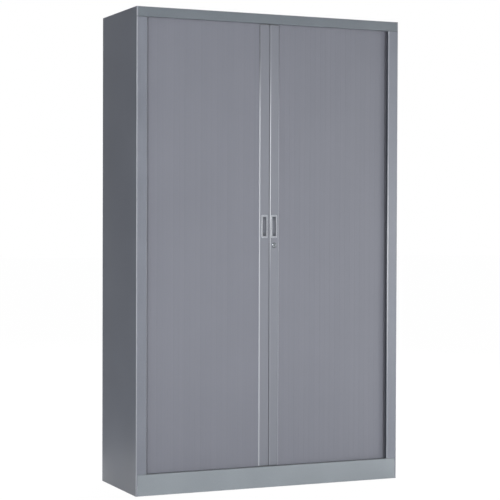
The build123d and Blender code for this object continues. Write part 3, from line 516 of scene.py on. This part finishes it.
def curtain(side, node, numbers):
    """The shape of some slats of one curtain; each slat carries its own shade of the batch."""
    low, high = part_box(node)
    outline = slat_outline()
    shape = bmesh.new()
    tone = shape.verts.layers.float.new("slat_tone")
    for number in numbers:
        here, there = (Vector(on_hinge_line(run)) for run in HINGE_RUNS[number:number + 2])
        along = (there - here).normalized()
        inward = Vector((-along.y, along.x))
        plan = [here + along * u + inward * v for u, v in outline]
        foot, top = ([shape.verts.new((side * p.x, p.y, z)) for p in plan] for z in (low.z, high.z))
        for vertex in foot + top:
            vertex[tone] = (number * GOLDEN + (RIGHT_START if side > 0 else 0.0)) % 1.0
        shape.faces.new(foot)
        shape.faces.new(top)
        band(shape, foot, top)
    return shape


# Real die lines are some 0.3 mm apart; they are drawn 4 mm apart so that they still show.
DIE_LINE = 0.004
DIE_LINE_LENGTH = 0.6
SLOW_CHANGE = 0.25


def extruded(name, light, dark, roughness, line_depth, tone=None):
    """Extruded bar: faint die lines that run its full length, and a slow change along it."""
    material, tree, shader = new_material(name)
    place = add(tree, "ShaderNodeTexCoord").outputs["Object"]
    drawn_out = {"Vector": place, "Scale": (1, 1, DIE_LINE / DIE_LINE_LENGTH)}
    drawn = add(tree, "ShaderNodeMapping", drawn_out).outputs[0]
    grooves = {"Vector": drawn, "Scale": 1 / DIE_LINE, "Detail": 4.0}
    lines = add(tree, "ShaderNodeTexNoise", grooves).outputs["Fac"]
    change = {"Vector": place, "Scale": 1 / SLOW_CHANGE, "Detail": 1.0}
    slow = add(tree, "ShaderNodeTexNoise", change).outputs["Fac"]
    factor = add(tree, "ShaderNodeMix", {0: 0.5, 2: lines, 3: slow}).outputs[0]
    if tone:
        own = add(tree, "ShaderNodeAttribute", attribute_name=tone).outputs["Fac"]
        factor = add(tree, "ShaderNodeMix", {0: 0.12, 2: factor, 3: own}).outputs[0]
    factor_range = {"Value": factor, "From Min": 0.25, "From Max": 0.75}
    spread = add(tree, "ShaderNodeMapRange", factor_range).outputs[0]
    tones = {0: spread, 6: srgb(dark), 7: srgb(light)}
    colour = add(tree, "ShaderNodeMix", tones, data_type="RGBA")
    tree.links.new(colour.outputs[2], shader.inputs["Base Color"])
    groove_gloss = (roughness * 0.85, roughness * 1.15)
    fine_relief(tree, lines, groove_gloss, strength=0.4, depth=line_depth)
    return material


slat_pvc = extruded(
    "extruded_matt_pvc_violet_grey",
    "#83858f",
    "#7d7f89",
    roughness=0.55,
    line_depth=0.00002,
    tone="slat_tone",
)
slat_pvc.node_tree.nodes["Principled BSDF"].inputs["Specular IOR Level"].default_value = 0.35
# As a curtain opens, its running slats ride with the lead profile.
# The last two stay round the corner, where the track holds some slats at every position.
RUNNING = 21
for side, name in SIDES:
    node = f"{name}_slats"
    running = curtain(side, node, range(RUNNING))
    slats = put(f"{name}_curtain", running, f"{name}_shutter", slat_pvc, angle=25)
    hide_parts(node)
    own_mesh(slats)
    parked = curtain(side, node, range(RUNNING, SLATS))
    corner_slats = put(f"{name}_corner_slats", parked, "cabinet", slat_pvc, angle=25)


# ---- Lead profiles -----------------------------------------------------------------------------
# The stiff bar at the front of each curtain is an aluminium extrusion, hollow, rounded at its
# outer front edge and lacquered to go with the curtain. Nylon guides plug into both its ends.

lead_aluminium = extruded(
    "extruded_aluminium_lacquered_grey", "#7b7e87", "#777a83", roughness=0.5, line_depth=0.00003
)
lead_aluminium.node_tree.nodes["Principled BSDF"].inputs["Metallic"].default_value = 0.1


def paint_profile_highlights_and_shade(material):
    """Paint highlights on the right profile's inner edge and the noses, painted shade atop the
    noses, and painted shade with grime in the gap.
    """
    tree = material.node_tree
    place = add(tree, "ShaderNodeTexCoord").outputs["Object"]
    x, _, z = add(tree, "ShaderNodeSeparateXYZ", {"Vector": place}).outputs
    across = add(tree, "ShaderNodeMath", {0: x}, operation="ABSOLUTE").outputs[0]
    # Each mask goes from its least to its most as a coordinate goes from its start to its end.
    # The inner edge's painted highlight is strongest just above the handles and fades towards 1.8
    # m.
    ramps = {
        "gap": (across, 0.0030, 0.0022, 0.0, 0.3),
        "edge_start": (x, 0.0022, 0.0030, 0.0, 1.0),
        "edge_end": (x, 0.0064, 0.0052, 0.0, 1.0),
        "over_lock": (z, 0.90, 1.15, 0.1, 1.0),
        "edge_highlight_fade": (z, 1.80, 1.50, 0.1, 1.0),
        "nose": (across, 0.0410, 0.0435, 0.0, 0.7),
        "nose_highlight_share": (z, 1.80, 1.55, 0.0, 1.0),
    }
    masks = {}
    for part, (coordinate, start, end, least, most) in ramps.items():
        limits = {"Value": coordinate, "From Min": start, "From Max": end}
        limits |= {"To Min": least, "To Max": most}
        masks[part] = add(tree, "ShaderNodeMapRange", limits).outputs[0]
    # A painted highlight runs along the right profile's inner edge.
    pairs = {
        "inner_edge": ("edge_start", "edge_end"),
        "edge_highlight_height": ("over_lock", "edge_highlight_fade"),
        "inner_edge_highlight": ("inner_edge", "edge_highlight_height"),
    }
    for part, (one, other) in pairs.items():
        both = {0: masks[one], 1: masks[other]}
        masks[part] = add(tree, "ShaderNodeMath", both, operation="MULTIPLY").outputs[0]
    # Painted shade at the top of the noses and a painted highlight below it; painted shade with
    # grime in the gap between the profiles.
    nose_shade_and_highlight_colours = {0: masks["nose_highlight_share"], 6: srgb("#3a3d43"), 7: srgb("#bcbfc5")}
    nose_shade_and_highlight = add(tree, "ShaderNodeMix", nose_shade_and_highlight_colours, data_type="RGBA").outputs[2]
    lay_over(
        tree,
        (masks["gap"], srgb("#4a4d53")),
        (masks["inner_edge_highlight"], srgb("#d2d5da")),
        (masks["nose"], nose_shade_and_highlight),
    )


paint_profile_highlights_and_shade(lead_aluminium)
finish_nodes(lead_aluminium, "left_lead_profile", "right_lead_profile")
for side in ("left", "right"):
    finish_nodes(nylon, f"{side}_lower_guide", f"{side}_upper_guide")


# ---- Cup handles -------------------------------------------------------------------------------
# Injection-moulded ABS finger cups, silver-grey right through, snapped into slots in the lead
# profiles. The raised bezel is eased all round, and the pocket has a fine eroded texture.

cup_low, cup_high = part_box("left_handle_cup")
HANDLE_HEIGHT = round((cup_low.z + cup_high.z) / 2, 4)
POCKET_MOUTH, POCKET_FLOOR = -0.1900, -0.1850


def paint_cup_highlights_and_shade(material):
    """Paint highlights on the bezel's rims, and painted shade in the pocket that deepens towards
    its floor.
    """
    tree = material.node_tree
    place = add(tree, "ShaderNodeTexCoord").outputs["Object"]
    _, y, z = add(tree, "ShaderNodeSeparateXYZ", {"Vector": place}).outputs
    # The bezel's rims get a painted highlight.
    rim_highlight = edge_mask_for_wear_and_highlights(tree, radius=0.0012, full=0.93)
    # Painted shade in the pocket, deeper towards its floor.
    depth_range = {"Value": y, "From Min": POCKET_MOUTH, "From Max": POCKET_FLOOR, "To Max": 0.9}
    depth = add(tree, "ShaderNodeMapRange", depth_range).outputs[0]
    # The painted shade is darkest in the pocket's two ends.
    end = off_level(tree, z, HANDLE_HEIGHT, 0.022, 0.040)
    pocket_shade_colours = {0: end, 6: srgb("#73767e"), 7: srgb("#474a50")}
    pocket_shade = add(tree, "ShaderNodeMix", pocket_shade_colours, data_type="RGBA").outputs[2]
    lay_over(tree, (rim_highlight, srgb("#dfe2e7")), (depth, pocket_shade))


cup_abs = moulded_plastic(
    "moulded_abs_silver_grey", "#a5a8b0", "#9b9ea6", roughness=0.32, texture=0.0012
)
paint_cup_highlights_and_shade(cup_abs)
finish_nodes(cup_abs, "left_handle_cup", "right_handle_cup")


def eased(*names, width):
    """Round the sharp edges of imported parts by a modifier; their meshes stay as they are."""
    for name in names:
        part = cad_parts[name]
        weld = part.modifiers.new("weld", "WELD")
        weld.merge_threshold = 0.000001
        bevel = part.modifiers.new("eased_edges", "BEVEL")
        bevel.width = width
        bevel.segments = 2
        bevel.limit_method = "ANGLE"
        bevel.angle_limit = radians(40)
        bevel.harden_normals = True


eased("left_handle_cup", "right_handle_cup", width=0.0004)


# ---- Lock and strike ---------------------------------------------------------------------------
# A chromed die-cast cam lock: the flanged barrel is clamped through the right profile by a nut,
# and the plug turns a hooked steel cam. The hook catches a zinc-plated angle on the left profile.

chrome = metal(
    "satin_chromed_zinc_die_casting",
    "#85898d",
    "#777b80",
    roughness=0.22,
    grain=0.004,
    depth=0.00001,
)
finish_nodes(chrome, "lock_housing", "lock_plug")
finish_nodes(zinc_plate, "lock_nut", "hook_cam", "cam_screw", "strike_plate", "strike_screws")
eased("lock_housing", "lock_plug", width=0.0003)
# The flange is capped by a pressed ring whose broad bevel catches a gleam on one side.
bright_nickel = metal(
    "bright_nickel_plated_pressed_steel",
    "#74787c",
    "#6b6f74",
    roughness=0.16,
    grain=0.004,
    depth=0.00001,
)
RING_SECTION = [
    (0.01095, -0.0004), (0.01095, 0.0000), (0.0108, 0.0003), (0.0105, 0.0005), (0.0084, 0.00164),
    (0.0080, 0.0018), (0.0074, 0.00185), (0.0068, 0.0017), (0.0066, 0.0014), (0.0066, -0.0004),
]
lock_low, lock_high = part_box("lock_housing")
lock_centre = ((lock_low.x + lock_high.x) / 2, lock_low.y, (lock_low.z + lock_high.z) / 2)
ring_shape = bmesh.new()
turned(ring_shape, RING_SECTION, lock_centre, (0, -1, 0), sides=48, ring=True)
ring_piece = put("lock_cap_ring", ring_shape, "right_shutter", bright_nickel)


# ---- Floor, light and camera -------------------------------------------------------------------
# A plain pale floor under a white surround. Soft lamps stand in front on the left, low before the
# plinth, behind on the right and overhead. Four more only show as gleams, and a black cloth behind
# on the left keeps the side from mirroring the white surround.


def seen_directly(tree):
    """1 for a ray that shows the surround: from the camera, in a reflection or through glass."""
    ray = add(tree, "ShaderNodeLightPath").outputs
    seen_or_gleam = {0: ray["Is Camera Ray"], 1: ray["Is Glossy Ray"]}
    seen = add(tree, "ShaderNodeMath", seen_or_gleam, operation="MAXIMUM").outputs[0]
    seen_or_through = {0: seen, 1: ray["Is Transmission Ray"]}
    return add(tree, "ShaderNodeMath", seen_or_through, operation="MAXIMUM").outputs[0]


world = bpy.data.worlds.new("studio")
bpy.context.scene.world = world
world.use_nodes = True
tree = world.node_tree
ambient = tree.nodes["Background"]
ambient.inputs["Color"].default_value = srgb("#f4f7fb")
ambient.inputs["Strength"].default_value = 0.1
white = add(tree, "ShaderNodeBackground", {"Color": srgb("#ffffff"), "Strength": 1.0})
surround = {0: seen_directly(tree), 1: ambient.outputs[0], 2: white.outputs[0]}
mixed = add(tree, "ShaderNodeMixShader", surround)
tree.links.new(mixed.outputs[0], tree.nodes["World Output"].inputs["Surface"])


def matt(name, colour, roughness, specular):
    """A plain matt surface of the studio."""
    material, _, shader = new_material(name)
    shader.inputs["Base Color"].default_value = srgb(colour)
    shader.inputs["Roughness"].default_value = roughness
    shader.inputs["Specular IOR Level"].default_value = specular
    return material


def studio_piece(name, shape, material):
    """A surface that stands in the studio and isn't part of the object."""
    mesh = bpy.data.meshes.new(name)
    shape.to_mesh(mesh)
    shape.free()
    mesh.materials.append(material)
    piece = bpy.data.objects.new(name, mesh)
    bpy.context.scene.collection.objects.link(piece)
    return piece


FLOOR_HALF = 40
FLOOR_DROP = 0.0005
floor_paint = matt("pale_painted_floor", "#e6e7e8", roughness=0.9, specular=0.1)
tree = floor_paint.node_tree
painted = tree.nodes["Principled BSDF"]
# Most of the floor that is seen glows white, and the rest keeps the object's shadow.
glow = add(tree, "ShaderNodeEmission", {"Color": srgb("#ffffff"), "Strength": 1.05})
most_of_it = {0: seen_directly(tree), 1: 0.94}
share = add(tree, "ShaderNodeMath", most_of_it, operation="MULTIPLY").outputs[0]
mixed = add(tree, "ShaderNodeMixShader", {0: share, 1: painted.outputs[0], 2: glow.outputs[0]})
tree.links.new(mixed.outputs[0], tree.nodes["Material Output"].inputs["Surface"])
floor_shape = bmesh.new()
bmesh.ops.create_grid(floor_shape, x_segments=1, y_segments=1, size=FLOOR_HALF)
floor = studio_piece("floor", floor_shape, floor_paint)
floor.location.z = -FLOOR_DROP


def lamp(name, place, target, size, power):
    """A rectangular soft box that faces a point."""
    light = bpy.data.lights.new(name, "AREA")
    light.shape = "RECTANGLE"
    light.size, light.size_y = size
    light.energy = power
    holder = bpy.data.objects.new(name, light)
    holder.location = place
    holder.rotation_mode = "QUATERNION"
    holder.rotation_quaternion = (Vector(target) - Vector(place)).to_track_quat("-Z", "Y")
    holder.visible_camera = False
    bpy.context.scene.collection.objects.link(holder)
    return holder


FRONT_LEFT = (-4.15, -7.4)
# Lamps that light the object and don't mirror in it, but for the one overhead.
key = lamp("key", (*FRONT_LEFT, 1.1), (0, 0, 0.9), size=(2.6, 2.6), power=465)
rear_right = lamp("rear_right", (3.2, 3.4, 4.2), (0, 0, 1.2), size=(2.0, 2.0), power=290)
lamp("overhead", (0.3, 0.9, 5.2), (0, 0.2, 1.9), size=(1.6, 1.6), power=90)
low_fill = lamp("low_fill", (-0.1, -2.1, 0.15), (-0.1, 0, 0.3), size=(2.0, 0.3), power=5)
for soft_box in (key, rear_right, low_fill):
    soft_box.visible_glossy = False
# Lamps that only mirror in it.
front_gleam = lamp("front_gleam", (*FRONT_LEFT, 1.6), (0, 0, 0.9), size=(4.5, 3.0), power=130)
spark = lamp("spark", (*FRONT_LEFT, 3.5), (0, -0.2, 1.1), size=(0.5, 0.5), power=160)
left_strip = lamp("left_strip", (-3.4, -1.5, 1.2), (-0.5, -0.2, 1.1), size=(0.5, 3.0), power=150)
right_strip = lamp("right_strip", (2.9, -2.9, 0.9), (0.5, -0.2, 0.9), size=(1.4, 2.2), power=100)
for gleam in (front_gleam, spark, left_strip, right_strip):
    gleam.visible_diffuse = False

CLOTH_BEHIND = 0.8
CLOTH_INNER, CLOTH_OUTER = -0.72, -4.2
CLOTH_FOOT, CLOTH_TOP = 0.02, 3.2
velvet = matt("black_velvet", "#181a1c", roughness=1.0, specular=0.0)
cloth_shape = bmesh.new()
cloth_corners = [(CLOTH_INNER, CLOTH_FOOT), (CLOTH_OUTER, CLOTH_FOOT)]
cloth_corners += [(CLOTH_OUTER, CLOTH_TOP), (CLOTH_INNER, CLOTH_TOP)]
cloth_shape.faces.new([cloth_shape.verts.new((x, CLOTH_BEHIND, z)) for x, z in cloth_corners])
cloth = studio_piece("black_cloth", cloth_shape, velvet)
cloth.visible_camera = False
cloth.visible_shadow = False

CAMERA_PLACE = (-2.7183, -6.1135, 1.1109)
YAW, PITCH_UP, ROLL = 0.4179, -0.0178, 0.0034
camera_data = bpy.data.cameras.new("camera")
camera_data.sensor_width = 36.0
camera_data.lens = 111.69
camera = bpy.data.objects.new("camera", camera_data)
camera.matrix_world = (
    Matrix.Translation(CAMERA_PLACE)
    @ Matrix.Rotation(-YAW, 4, "Z")
    @ Matrix.Rotation(pi / 2 + PITCH_UP, 4, "X")
    @ Matrix.Rotation(ROLL, 4, "Z")
)
bpy.context.scene.collection.objects.link(camera)
bpy.context.scene.camera = camera
bpy.context.scene.view_settings.view_transform = "Standard"
